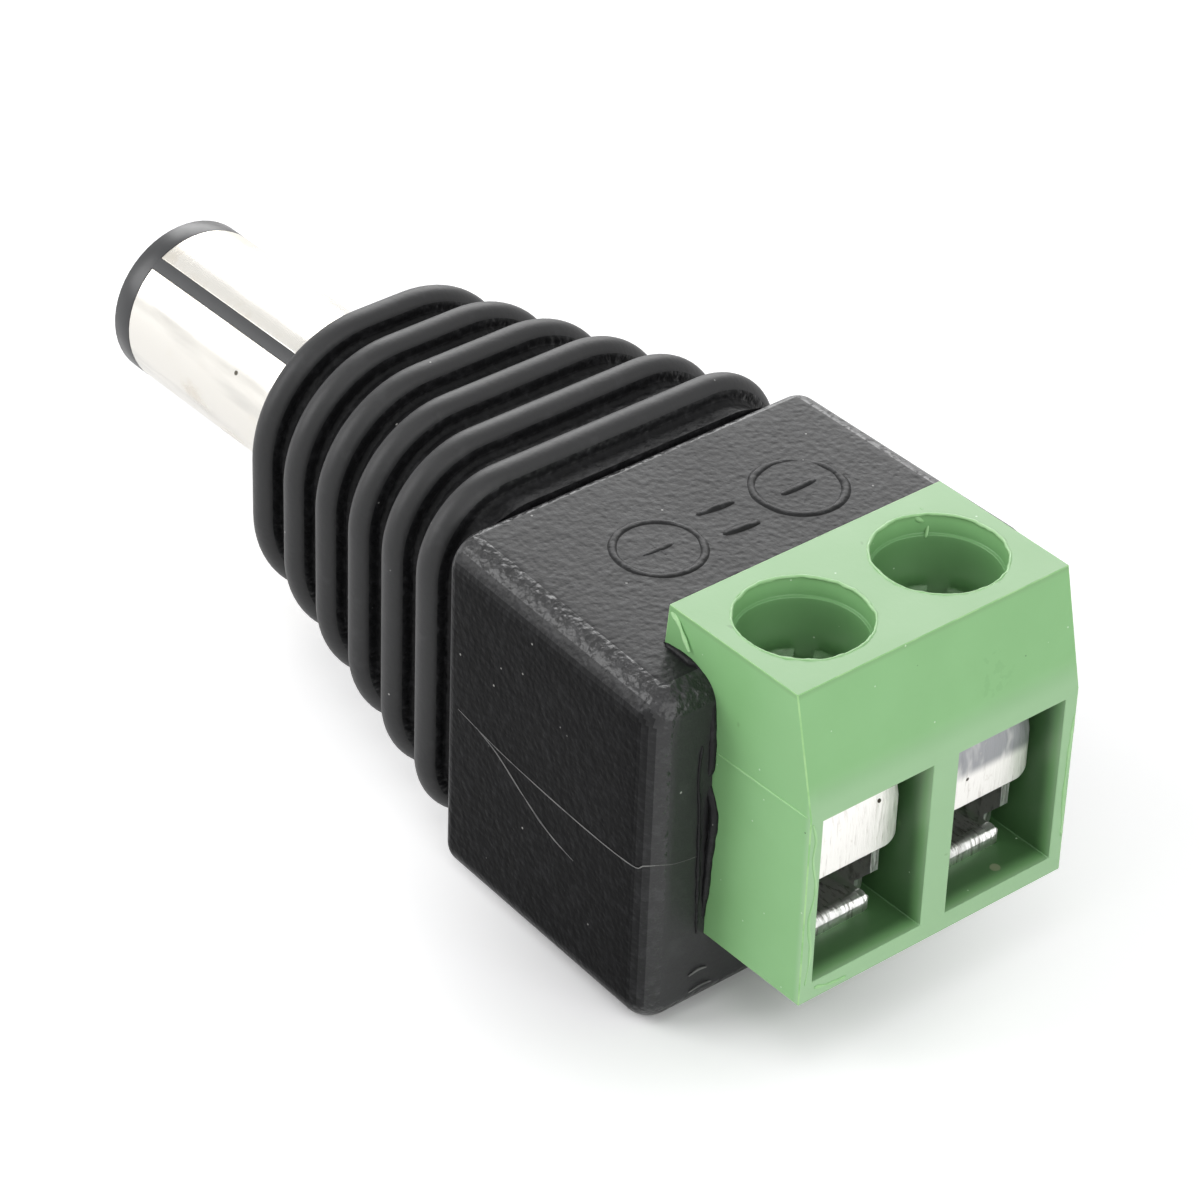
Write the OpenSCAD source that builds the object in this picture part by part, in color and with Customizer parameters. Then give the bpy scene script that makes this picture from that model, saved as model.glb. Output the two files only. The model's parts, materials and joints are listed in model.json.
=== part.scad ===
// Barrel power plug with a two-pole screw terminal.
//
// A green terminal housing holds two folded clamps with a screw each. A black
// body is moulded round its rear half and round the rear of the barrel. Lugs
// inside the body join each clamp to the sleeve or to the centre contact.
//
// Lengths run along +X from the open front of the housing to the barrel's tip.
// +Z is up, and the plug lies on Z = 0. The plus pole is at +Y and feeds the
// centre contact. The minus pole is at -Y and feeds the sleeve.

/* [Terminal housing] */
// Distance between the two poles
pole_pitch = 5.08; // [5:0.01:5.2]
// Height of the housing from its underside to its top
housing_h = 10.32; // [10.1:0.01:10.8]
// Height of the housing's underside above the floor
housing_lift = 2.73; // [2.2:0.01:2.9]
// Height of the knee in the front face above the housing's underside
knee_h = 6.54; // [6.45:0.01:7]
// Setback of the top's front edge behind the front face
top_setback = 0.9; // [0.4:0.01:1.1]
// Depth of the flat top from front to rear
top_depth = 5.31; // [5.2:0.01:5.6]
// Depth of the housing at its underside
base_depth = 7.2; // [7:0.01:7.6]
// Width of each wire chamber
chamber_w = 4.12; // [3.9:0.01:4.2]
// Height of each wire chamber
chamber_h = 5.7; // [5.6:0.01:5.8]
// Depth of each wire chamber
chamber_depth = 5.9; // [5.75:0.01:6]
// Thickness of the chamber's floor
chamber_floor = 0.62; // [0.4:0.01:0.8]
// Diameter of the screw shaft at the top
shaft_d = 4; // [3.9:0.01:4.1]
// Diameter of the screw shaft below its ledge
shaft_inner_d = 3.8; // [3.65:0.01:3.85]
// Depth of the ledge below the top
shaft_ledge = 0.7; // [0.3:0.01:1.2]
// Distance of the screw's axis behind the front face
screw_inset = 3.51; // [3.45:0.01:3.6]

/* [Clamp] */
// Width of the folded clamp
clamp_w = 3.3; // [3.2:0.01:3.5]
// Height of the folded clamp
clamp_h = 4.35; // [4.2:0.01:4.5]
// Distance of the clamp's front edge behind the front face
clamp_inset = 1.5; // [1.48:0.01:1.6]
// Length of the clamp's cage
clamp_len = 4.1; // [4:0.01:4.2]
// Thickness of the clamp's sheet
clamp_sheet = 0.3; // [0.25:0.01:0.35]
// Thickness of the doubled top plate that takes the thread
plate_t = 0.8; // [0.7:0.01:0.9]
// Outer radius of the two folds under the clamp
fold_r = 0.5; // [0.36:0.01:0.6]
// Diameter of the rolled lip at the clamp's front
lip_d = 0.55; // [0.45:0.01:0.6]
// Width of the rolled lip
lip_w = 2.7; // [2.4:0.01:2.8]
// Height of the relief notches above the clamp's underside
notch_h = 1.32; // [1.1:0.01:1.5]
// Depth of the relief notches
notch_depth = 0.6; // [0.4:0.01:0.8]
// Width of the clamp's tail
tail_w = 1.2; // [1:0.01:1.6]
// Length of the tail behind the housing's underside
tail_len = 2.4; // [2:0.01:3]

/* [Wire guard] */
// Width of the flap that closes the chamber above the wire
flap_w = 3.4; // [3.2:0.01:3.6]
// Height of the flap
flap_h = 2.45; // [2.3:0.01:2.5]
// Height of the flap's lower edge above the chamber's floor
flap_lift = 2.65; // [2.6:0.01:2.7]
// Distance of the flap behind the front face
flap_inset = 0.95; // [0.9:0.01:0.98]
// Thickness of the guard's sheet
guard_sheet = 0.25; // [0.2:0.01:0.27]
// Height of the bent top of the flap
bend_h = 0.8; // [0.5:0.01:1]
// How far the bent top leans to the rear
bend_lean = 0.2; // [0.05:0.01:0.22]
// Radius of the flap's lower corners
flap_corner_r = 0.4; // [0.2:0.01:0.6]
// Width of the leaf under the screw
leaf_w = 2.5; // [2.2:0.01:2.6]
// Distance of the leaf's rear edge behind the front face
leaf_end = 5; // [4.98:0.01:5.2]

/* [Clamp screw] */
// Thread diameter of the clamp screw
screw_d = 2.4; // [2.3:0.01:2.5]
// Running clearance of the thread in the clamp, on the radius
screw_clearance = 0.05; // [0.03:0.01:0.08]
// Head diameter of the clamp screw
screw_head_d = 3.5; // [3.3:0.01:3.55]
// Head height of the clamp screw
screw_head_h = 1.3; // [1.1:0.01:1.4]
// Length of the screw under its head
screw_len = 3.35; // [3.3:0.01:3.5]
// Radius of the head's rounded rim
screw_rim_r = 0.3; // [0.15:0.01:0.4]
// Width of the driver slot
slot_w = 0.55; // [0.4:0.01:0.7]
// Depth of the driver slot
slot_depth = 0.65; // [0.4:0.01:0.8]
// Direction of the slots, turned from the plug's length
slot_turn = -47; // [-90:1:90]

/* [Moulded body] */
// Setback of the body's rear face behind the housing's front face
body_setback = 4.08; // [3.9:0.01:4.3]
// Length of the box round the housing
box_len = 9.8; // [9.6:0.01:10.4]
// Width of the box at its rear face
box_w_rear = 14.55; // [14.3:0.01:15]
// Width of the box beside the ribs
box_w_front = 13.75; // [13.6:0.01:14.2]
// Height of the box at its rear face
box_h_rear = 11.62; // [11.5:0.01:11.8]
// Height of the box beside the ribs
box_h_front = 11.77; // [11.6:0.01:12]
// Radius of the long edges along the top
box_top_r = 1.05; // [0.8:0.01:1.4]
// Radius of the long edges along the bottom
box_bottom_r = 0.7; // [0.6:0.01:1]
// Radius of the edges round the rear face
box_rear_r = 0.9; // [0.3:0.01:1.1]
// Radius of the edges beside the ribs
box_front_r = 0.35; // [0.2:0.01:0.5]

/* [Ribs] */
// Number of ribs between the box and the barrel
rib_count = 6; // [5:1:7]
// Distance from rib to rib
rib_pitch = 2.106; // [2.06:0.001:2.2]
// Radius of the bead along each rib
rib_bead_r = 0.5; // [0.45:0.01:0.55]
// Width of the groove between the box and the first rib
first_groove = 0.89; // [0.7:0.01:1.2]
// Depth of the grooves between the ribs
groove_depth = 0.72; // [0.6:0.01:0.9]
// Width of the largest rib, next to the box
rib_w_large = 13.4; // [13.2:0.01:13.5]
// Width of the smallest rib, at the barrel
rib_w_small = 9.78; // [9.6:0.01:10.2]
// Height of the largest rib, next to the box
rib_h_large = 12.24; // [12.1:0.01:12.28]
// Height of the smallest rib, at the barrel
rib_h_small = 10.06; // [9.9:0.01:10.4]
// Extra height half way along the ribs, where the taper bulges
rib_bulge = 0.2; // [0:0.01:0.3]
// Corner radius of the largest rib
rib_corner_large = 2.9; // [2.6:0.01:3.2]
// Corner radius of the smallest rib
rib_corner_small = 4.04; // [3.8:0.01:4.3]

/* [Barrel] */
// Height of the barrel's axis above the floor
axis_h = 6.15; // [6.14:0.01:6.2]
// Diameter of the barrel
barrel_d = 5.5; // [5.4:0.01:5.6]
// Length of the barrel outside the body
barrel_len = 10.16; // [9.9:0.01:11]
// Length of the insulating ring at the tip
tip_len = 0.76; // [0.5:0.01:1]
// Wall of the metal sleeve
sleeve_wall = 0.3; // [0.25:0.01:0.4]
// Width of the slit along the sleeve
slit_w = 0.42; // [0.3:0.01:0.6]
// Direction of the slit, turned up from +Y
slit_turn = 55; // [40:1:70]
// Diameter of the bore for the socket's pin
bore_d = 2.1; // [2.05:0.01:2.2]
// Depth of that bore from the tip
bore_depth = 9.6; // [9:0.01:10]
// Wall of the centre contact round its bore
contact_wall = 0.45; // [0.35:0.01:0.5]
// Setback of the centre contact behind the tip
contact_setback = 0.9; // [0.8:0.01:1.2]
// Diameter of the opening in the tip
tip_hole_d = 2.5; // [2.4:0.01:2.7]
// Diameter of the sleeve's shank inside the body
shank_d = 5; // [4.8:0.01:5.1]
// Length of that shank
shank_len = 4.9; // [4.7:0.01:5.2]
// Diameter of the collar that anchors the sleeve in the body
collar_d = 7.2; // [6.6:0.01:7.6]
// Length of that collar
collar_len = 0.8; // [0.5:0.01:1]
// Diameter of the centre contact's rear stem
stem_d = 1.8; // [1.6:0.01:2]
// Diameter of the rivet head on the stem
rivet_d = 2.6; // [2.3:0.01:2.8]
// Height of the rivet head
rivet_h = 0.4; // [0.3:0.01:0.6]

/* [Lugs] */
// Thickness of the lugs and of their washers
lug_sheet = 0.3; // [0.25:0.01:0.35]
// Height of the lugs' straps
lug_h = 1.2; // [1:0.01:1.4]
// Length of the foot that is welded to each clamp's tail
foot_len = 1.4; // [1:0.01:1.8]
// Diameter of the washer on the centre lug
centre_washer_d = 3.6; // [3.4:0.01:4]
// Diameter of the collar on the rear bush
bush_collar_d = 3.2; // [3:0.01:3.5]
// Thickness of the rear bush
bush_t = 0.8; // [0.6:0.01:1]

/* [Hidden] */

$fn = 96;
// Overshoot of cutting shapes
over = 0.2;
// Smallest corner radius of a section of the body
least_r = 0.1;
// Points round each corner of the body's sections, less one
corner_steps = 8;
// Steps round each rounded edge and each bead
edge_steps = 4;
bead_steps = 8;

// Pole positions across the plug
plus_y = pole_pitch / 2;
minus_y = -pole_pitch / 2;

// Heights in the housing
housing_top = housing_lift + housing_h;
knee_z = housing_lift + knee_h;
floor_z = housing_lift + chamber_floor;
chamber_top = floor_z + chamber_h;

// Heights of the clamp, the guard and the screw
plate_top = floor_z + clamp_h;
flap_z = floor_z + flap_lift;
leaf_top = flap_z + guard_sheet;
tail_end = base_depth + tail_len;

// Stations along the plug
box_end = body_setback + box_len;
first_crest = box_end + first_groove + rib_bead_r;
body_end = first_crest + (rib_count - 1) * rib_pitch + rib_bead_r;
sleeve_end = body_end + barrel_len - tip_len;
overall_len = body_end + barrel_len;
sleeve_start = body_end - shank_len;
bush_start = sleeve_start - lug_sheet - bush_t;
bore_start = overall_len - bore_depth;

// Radii of the barrel's layers
barrel_r = barrel_d / 2;
core_r = barrel_r - sleeve_wall;
contact_r = bore_d / 2 + contact_wall;
stem_r = stem_d / 2;
shank_r = shank_d / 2;
shank_core_r = shank_r - sleeve_wall;

// Outer faces of the lugs' straps on the tails
strap_out = pole_pitch / 2 + tail_w / 2;

// ---------------------------------------------------------------- helpers

// Moves a node so that the plug's middle stands at X = 0
module placed() translate([-overall_len / 2, 0, 0]) children();

// Block between two corners
module block(from, to) translate(from) cube(to - from);

// Round bar on the barrel's axis between two stations
module axis_bar(start, end, radius)
  translate([start, 0, axis_h]) rotate([0, 90, 0]) cylinder(h = end - start, r = radius);

// Side outline, drawn as X and Z, swept across the plug to a width
module across(width)
  rotate([90, 0, 0]) linear_extrude(height = width, center = true) children();

// Front outline, drawn as Y and Z, swept along the plug
module along(start, end)
  translate([start, 0, 0]) rotate([90, 0, 90]) linear_extrude(height = end - start) children();

// Rectangle standing on Z = 0 with its two lower corners rounded
module round_bottomed(width, height, radius) {
  translate([-width / 2, radius]) square([width, height - radius]);
  translate([-width / 2 + radius, 0]) square([width - 2 * radius, height]);
  for (side = [-1, 1])
    translate([side * (width / 2 - radius), radius]) circle(r = radius);
}

// ---------------------------------------------------------------- housing

module housing_outline() polygon([
  [0, housing_lift],
  [0, knee_z],
  [top_setback, housing_top],
  [top_setback + top_depth, housing_top],
  [base_depth, housing_lift]
]);

module housing_block() across(2 * pole_pitch) housing_outline();

module wire_chamber(y)
  block([-over, y - chamber_w / 2, floor_z], [chamber_depth, y + chamber_w / 2, chamber_top]);

module screw_shaft(y) translate([screw_inset, y, 0]) {
  translate([0, 0, housing_top - shaft_ledge]) cylinder(h = shaft_ledge + over, d = shaft_d);
  translate([0, 0, chamber_top - over])
    cylinder(h = housing_top - chamber_top, d = shaft_inner_d);
}

module terminal_housing() color("#7dbb74") placed() difference() {
  housing_block();
  for (y = [plus_y, minus_y]) {
    wire_chamber(y);
    screw_shaft(y);
    clamp_tail(y);
  }
}

// ---------------------------------------------------------------- clamps

// Tail that runs from the clamp's floor to the lug's foot
module clamp_tail(y)
  block([clamp_inset + clamp_len - over, y - tail_w / 2, floor_z],
        [tail_end, y + tail_w / 2, floor_z + clamp_sheet]);

// Relief cut out of the foot of both side walls, beside the lip
module relief_notches() for (side = [-1, 1])
  translate([clamp_inset, side * (lip_w / 2 + clamp_w), 0])
    across(2 * clamp_w) polygon([
      [-over, notch_h],
      [0, notch_h],
      [notch_depth, notch_h / 2],
      [notch_depth, -over],
      [-over, -over]
    ]);

module clamp(y) {
  translate([0, y, floor_z]) {
    difference() {
      along(clamp_inset, clamp_inset + clamp_len) difference() {
        round_bottomed(clamp_w, clamp_h, fold_r);
        translate([0, clamp_sheet]) round_bottomed(clamp_w - 2 * clamp_sheet,
          clamp_h - clamp_sheet - plate_t, fold_r - clamp_sheet);
      }
      relief_notches();
      translate([screw_inset, 0, clamp_h - plate_t - over])
        cylinder(h = plate_t + 2 * over, r = screw_d / 2 + screw_clearance);
    }
    translate([clamp_inset + lip_d / 2, lip_w / 2, lip_d / 2])
      rotate([90, 0, 0]) cylinder(h = lip_w, d = lip_d);
  }
  clamp_tail(y);
}

module clamp_plus() color("#d9dad6") placed() clamp(plus_y);

module clamp_minus() color("#d9dad6") placed() clamp(minus_y);

// ---------------------------------------------------------------- guards

// Bent sheet: a flap in front of the clamp and a leaf under the screw's tip
module wire_guard(y) translate([flap_inset, y, flap_z]) {
  intersection() {
    across(flap_w) polygon([
      [0, 0],
      [0, flap_h - bend_h],
      [bend_lean, flap_h],
      [bend_lean + guard_sheet, flap_h],
      [guard_sheet, flap_h - bend_h],
      [guard_sheet, 0]
    ]);
    along(-over, 1) round_bottomed(flap_w, flap_h, flap_corner_r);
  }
  block([0, -leaf_w / 2, 0], [leaf_end - flap_inset, leaf_w / 2, guard_sheet]);
}

module wire_guard_plus() color("#e4e3df") placed() wire_guard(plus_y);

module wire_guard_minus() color("#e4e3df") placed() wire_guard(minus_y);

// ---------------------------------------------------------------- screws

// Cheese-head screw that stands on the guard's leaf
module clamp_screw(y) translate([screw_inset, y, leaf_top]) difference() {
  union() {
    cylinder(h = screw_len, d = screw_d);
    translate([0, 0, screw_len]) {
      cylinder(h = screw_head_h - screw_rim_r, d = screw_head_d);
      cylinder(h = screw_head_h, d = screw_head_d - 2 * screw_rim_r);
      translate([0, 0, screw_head_h - screw_rim_r]) rotate_extrude()
        intersection() {
          translate([screw_head_d / 2 - screw_rim_r, 0]) circle(r = screw_rim_r);
          square([screw_head_d, screw_rim_r]);
        }
    }
  }
  rotate([0, 0, slot_turn]) translate([0, 0, screw_len + screw_head_h - slot_depth / 2])
    cube([screw_head_d + over, slot_w, slot_depth + 0.001], center = true);
}

module clamp_screw_plus() color("#cfd0cc") placed() clamp_screw(plus_y);

module clamp_screw_minus() color("#cfd0cc") placed() clamp_screw(minus_y);

// ---------------------------------------------------------------- barrel

// Slot along the sleeve that shows the insulator
module slit(width, start, end, radius)
  translate([0, 0, axis_h]) rotate([slit_turn, 0, 0])
    block([start, 0, -width / 2], [end, radius, width / 2]);

module barrel_sleeve() color("#eeece4") placed() difference() {
  union() {
    axis_bar(sleeve_start, body_end, shank_r);
    axis_bar(body_end, sleeve_end, barrel_r);
    axis_bar(body_end - 2 * collar_len, body_end - collar_len, collar_d / 2);
  }
  axis_bar(sleeve_start - over, body_end + sleeve_wall, shank_core_r);
  axis_bar(body_end + sleeve_wall, sleeve_end + over, core_r);
  slit(slit_w, body_end, sleeve_end + over, barrel_d);
}

module barrel_insulator() color("#26272a") placed() difference() {
  union() {
    axis_bar(sleeve_start, body_end + sleeve_wall, shank_core_r);
    axis_bar(body_end + sleeve_wall, sleeve_end, core_r);
    axis_bar(sleeve_end, overall_len, barrel_r);
    intersection() {
      slit(slit_w, body_end, sleeve_end, barrel_d);
      axis_bar(body_end, sleeve_end, barrel_r);
    }
  }
  axis_bar(overall_len - contact_setback, overall_len + over, tip_hole_d / 2);
  axis_bar(bore_start - stem_r, overall_len - contact_setback + over, contact_r);
  axis_bar(sleeve_start - over, bore_start, stem_r);
}

module centre_contact() color("#c9b27a") placed() difference() {
  union() {
    axis_bar(bore_start - stem_r, overall_len - contact_setback, contact_r);
    axis_bar(bush_start - lug_sheet, bore_start, stem_r);
    axis_bar(bush_start - lug_sheet - rivet_h, bush_start - lug_sheet, rivet_d / 2);
  }
  axis_bar(bore_start, overall_len, bore_d / 2);
}

// Insulating bush between the two lugs, with a collar through the sleeve lug
module rear_bush() color("#3a3a3c") placed() difference() {
  union() {
    axis_bar(bush_start, bush_start + bush_t, shank_core_r);
    axis_bar(bush_start, sleeve_start, bush_collar_d / 2);
  }
  axis_bar(bush_start - over, sleeve_start + over, stem_r);
}

// ---------------------------------------------------------------- lugs

// Washer at a station, with a strap along one side and a foot on the tail
module lug(start, washer_r, hole_r, side) mirror([0, side < 0 ? 1 : 0, 0]) {
  difference() {
    union() {
      axis_bar(start, start + lug_sheet, washer_r);
      block([start, 0, axis_h - lug_h / 2],
            [start + lug_sheet, strap_out, axis_h + lug_h / 2]);
    }
    axis_bar(start - over, start + lug_sheet + over, hole_r);
  }
  block([tail_end - foot_len, strap_out - lug_sheet, axis_h - lug_h / 2],
        [start + lug_sheet, strap_out, axis_h + lug_h / 2]);
  block([tail_end - foot_len, strap_out - lug_sheet, floor_z + clamp_sheet],
        [tail_end, strap_out, axis_h]);
  block([tail_end - foot_len, strap_out - tail_w, floor_z + clamp_sheet],
        [tail_end, strap_out, floor_z + clamp_sheet + lug_sheet]);
}

module sleeve_lug() color("#cdbb8c") placed()
  lug(sleeve_start - lug_sheet, shank_r, bush_collar_d / 2, -1);

module centre_lug() color("#cdbb8c") placed()
  lug(bush_start - lug_sheet, centre_washer_d / 2, stem_r, 1);

// ---------------------------------------------------------------- body

function mix(a, b, t) = a + (b - a) * t;

// Section of the body: [station, half width, bottom, top, top radius, bottom radius]
function box_section(x, inset) =
  let (t = (x - body_setback) / box_len)
  [x, mix(box_w_rear, box_w_front, t) / 2 - inset, inset,
   mix(box_h_rear, box_h_front, t) - inset,
   max(box_top_r - inset, least_r), max(box_bottom_r - inset, least_r)];

function rib_section(x, k, inset) =
  let (t = k / (rib_count - 1),
       half_h = (mix(rib_h_large, rib_h_small, t) + rib_bulge * 4 * t * (1 - t)) / 2,
       corner = rib_corner_small - (rib_corner_small - rib_corner_large) * pow(1 - t, 2))
  [x, mix(rib_w_large, rib_w_small, t) / 2 - inset, axis_h - half_h + inset,
   axis_h + half_h - inset, corner - inset, corner - inset];

// A rib rises from the groove's floor, rounds over its bead and falls again
function rib_sections(k) =
  let (crest = first_crest + k * rib_pitch)
  concat(
    [rib_section(crest - rib_bead_r, k, groove_depth)],
    [for (i = [0 : bead_steps])
      let (turn = 180 * i / bead_steps)
      rib_section(crest - rib_bead_r * cos(turn), k, rib_bead_r * (1 - sin(turn)))],
    k < rib_count - 1 ? [rib_section(crest + rib_bead_r, k, groove_depth)] : []
  );

body_sections = concat(
  [for (i = [0 : edge_steps])
    let (turn = 90 * i / edge_steps)
    box_section(body_setback + box_rear_r * (1 - cos(turn)), box_rear_r * (1 - sin(turn)))],
  [for (i = [0 : edge_steps])
    let (turn = 90 * i / edge_steps)
    box_section(box_end - box_front_r * (1 - sin(turn)), box_front_r * (1 - cos(turn)))],
  [rib_section(box_end, 0, groove_depth)],
  [for (k = [0 : rib_count - 1]) each rib_sections(k)]
);

// Points round one section, corner by corner from the upper right
function section_points(s) = [
  for (corner = [0 : 3], i = [0 : corner_steps])
    let (turn = 90 * (corner + i / corner_steps),
         side = (corner == 0 || corner == 3) ? 1 : -1,
         radius = corner < 2 ? s[4] : s[5],
         centre_z = corner < 2 ? s[3] - radius : s[2] + radius)
    [s[0], side * (s[1] - radius) + radius * cos(turn), centre_z + radius * sin(turn)]
];

// Closed skin through a row of sections
module skin(sections) {
  count = 4 * (corner_steps + 1);
  last = len(sections) - 1;
  polyhedron(
    points = [for (s = sections) each section_points(s)],
    faces = concat(
      [[for (i = [0 : count - 1]) i]],
      [for (j = [0 : last - 1], i = [0 : count - 1])
        let (a = j * count + i, b = j * count + (i + 1) % count)
        [a, a + count, b]],
      [for (j = [0 : last - 1], i = [0 : count - 1])
        let (a = j * count + i, b = j * count + (i + 1) % count)
        [b, a + count, b + count]],
      [[for (i = [count - 1 : -1 : 0]) last * count + i]]
    )
  );
}

// The body fills every gap round the pieces inside it
module moulded_body() color("#2b2c2e") placed() difference() {
  skin(body_sections);
  housing_block();
  axis_bar(sleeve_start, body_end + over, shank_r);
  axis_bar(body_end - 2 * collar_len, body_end - collar_len, collar_d / 2);
  axis_bar(bush_start, bush_start + bush_t, shank_core_r);
  axis_bar(bush_start - lug_sheet - rivet_h, bush_start, rivet_d / 2);
  for (y = [plus_y, minus_y]) clamp_tail(y);
  lug(sleeve_start - lug_sheet, shank_r, 0, -1);
  lug(bush_start - lug_sheet, centre_washer_d / 2, 0, 1);
}

// ---------------------------------------------------------------- nodes

moulded_body();
terminal_housing();
clamp_plus();
clamp_minus();
wire_guard_plus();
wire_guard_minus();
clamp_screw_plus();
clamp_screw_minus();
barrel_sleeve();
barrel_insulator();
centre_contact();
rear_bush();
sleeve_lug();
centre_lug();
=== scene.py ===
# %% [markdown]
# # A DC barrel plug with a two-pole screw terminal
#
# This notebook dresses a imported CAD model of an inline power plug. The CAD holds
# every piece at its real size. Here each piece gets the surface that the real one
# has: soft black PVC with a fine grain, green moulded plastic, and plated metal.
#
# Lengths are in metres. +X runs from the open front of the green housing to the
# barrel's tip, +Y is the side of the plus pole, and +Z is up.

# %% Load the frame
import math

import bmesh
import bpy
from mathutils import Matrix, Vector, noise
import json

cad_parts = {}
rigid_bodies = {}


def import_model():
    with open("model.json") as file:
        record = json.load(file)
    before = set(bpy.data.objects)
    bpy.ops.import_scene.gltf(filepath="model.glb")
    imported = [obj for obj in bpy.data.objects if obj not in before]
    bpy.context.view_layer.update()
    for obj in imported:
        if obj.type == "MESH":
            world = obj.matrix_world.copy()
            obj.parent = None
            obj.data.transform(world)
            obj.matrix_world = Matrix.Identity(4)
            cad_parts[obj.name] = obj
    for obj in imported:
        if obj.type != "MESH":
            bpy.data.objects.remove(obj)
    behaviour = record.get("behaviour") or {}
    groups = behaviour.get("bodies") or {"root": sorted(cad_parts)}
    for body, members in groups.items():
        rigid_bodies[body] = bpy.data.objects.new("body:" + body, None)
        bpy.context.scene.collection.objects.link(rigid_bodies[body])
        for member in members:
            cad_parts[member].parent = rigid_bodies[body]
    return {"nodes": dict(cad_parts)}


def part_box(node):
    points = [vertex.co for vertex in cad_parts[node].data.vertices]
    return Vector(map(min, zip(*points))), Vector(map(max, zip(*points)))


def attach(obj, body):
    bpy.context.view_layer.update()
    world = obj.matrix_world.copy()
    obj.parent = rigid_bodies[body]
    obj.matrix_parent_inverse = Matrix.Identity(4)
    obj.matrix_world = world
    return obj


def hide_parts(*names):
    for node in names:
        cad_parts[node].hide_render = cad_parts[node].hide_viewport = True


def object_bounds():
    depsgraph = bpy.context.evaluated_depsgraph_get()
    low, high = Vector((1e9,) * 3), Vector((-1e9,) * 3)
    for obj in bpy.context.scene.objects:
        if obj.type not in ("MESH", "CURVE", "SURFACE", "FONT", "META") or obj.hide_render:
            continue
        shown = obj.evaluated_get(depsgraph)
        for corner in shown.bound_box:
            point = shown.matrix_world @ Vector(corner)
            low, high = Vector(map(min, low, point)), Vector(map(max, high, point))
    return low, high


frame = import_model()
cad_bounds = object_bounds()
nodes = frame["nodes"]
MM = 0.001
print("CAD pieces:", sorted(nodes))

# %% [markdown]
# ## Measures
#
# The few sizes that a box can't tell, such as the corner radii of the black
# body, are named here once.

# %% Places read from the CAD pieces
house_low, house_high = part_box("terminal_housing")
body_low, body_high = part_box("moulded_body")
tip_low, tip_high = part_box("barrel_insulator")
screw_low, screw_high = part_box("clamp_screw_plus")

housing_face = house_low.x
housing_top = house_high.z
axis_z = (tip_low.z + tip_high.z) / 2
barrel_r = (tip_high.z - tip_low.z) / 2
pole_y = (screw_low.y + screw_high.y) / 2
screw_x = (screw_low.x + screw_high.x) / 2
body_rear = body_low.x
body_front = body_high.x
print("barrel radius", round(barrel_r / MM, 3), "mm, axis height", round(axis_z / MM, 3), "mm")

# %% Sizes of the black body
box_length = 9.8 * MM
box_width_rear = 14.55 * MM
box_width_front = 13.75 * MM
box_height_rear = 11.62 * MM
box_height_front = 11.77 * MM
box_top_radius = 1.05 * MM
box_bottom_radius = 0.95 * MM
box_rear_radius = 0.9 * MM
box_front_radius = 0.5 * MM
rib_count = 6
rib_pitch = 2.106 * MM
bead_radius = 0.5 * MM
groove_depth = 0.72 * MM
rib_width_large = 13.4 * MM
rib_width_small = 9.78 * MM
rib_height_large = 12.24 * MM
rib_height_small = 10.06 * MM
rib_bulge = 0.2 * MM
rib_corner_large = 2.9 * MM
rib_corner_small = 4.04 * MM
minus_side_extra = 0.12 * MM

box_end = body_rear + box_length
last_crest = body_front - bead_radius
first_crest = last_crest - (rib_count - 1) * rib_pitch
print("rib crests from", round(first_crest / MM, 2), "to", round(last_crest / MM, 2), "mm")

# %% [markdown]
# ## Helpers for meshes
#
# A finished piece's object sits at the origin, with its place in its mesh. Every
# piece rides on one of the CAD's moving bodies, so that it follows the joints.

# %% Helpers that finish a piece
def finish_piece(name, mesh_data, material, body="plug"):
    """Makes an object of a bmesh, with a material, on a CAD body."""
    mesh = bpy.data.meshes.new(name)
    mesh_data.to_mesh(mesh)
    mesh_data.free()
    piece = bpy.data.objects.new(name, mesh)
    bpy.context.scene.collection.objects.link(piece)
    piece.data.materials.append(material)
    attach(piece, body)
    return piece


def smooth(piece, angle):
    """Shades a piece smooth, apart from edges sharper than an angle."""
    piece.data.shade_smooth()
    piece.data.set_sharp_from_angle(angle=math.radians(angle))


def apply_modifiers(piece):
    """Turns a piece's modifiers into its mesh."""
    graph = bpy.context.evaluated_depsgraph_get()
    solid = bpy.data.meshes.new_from_object(piece.evaluated_get(graph))
    old = piece.data
    piece.modifiers.clear()
    piece.data = solid
    bpy.data.meshes.remove(old)


def merged_copy(node):
    """A bmesh of a CAD piece, with its loose triangles joined into clean faces."""
    data = bmesh.new()
    data.from_mesh(nodes[node].data)
    bmesh.ops.remove_doubles(data, verts=data.verts, dist=0.002 * MM)
    bmesh.ops.dissolve_limit(
        data, angle_limit=math.radians(0.5), verts=data.verts, edges=data.edges
    )
    return data


def soft_edges(piece, width, edge_material=None):
    """Rounds a piece's sharp edges and keeps its flat faces flat."""
    piece.data.shade_smooth()
    bevel = piece.modifiers.new("soft edges", "BEVEL")
    bevel.width = width
    bevel.segments = 2
    bevel.limit_method = "ANGLE"
    bevel.angle_limit = math.radians(30)
    bevel.use_clamp_overlap = True
    if edge_material:
        piece.data.materials.append(edge_material)
        bevel.material = 1
    flat = piece.modifiers.new("flat faces stay flat", "WEIGHTED_NORMAL")
    flat.weight = 100
    apply_modifiers(piece)


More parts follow.
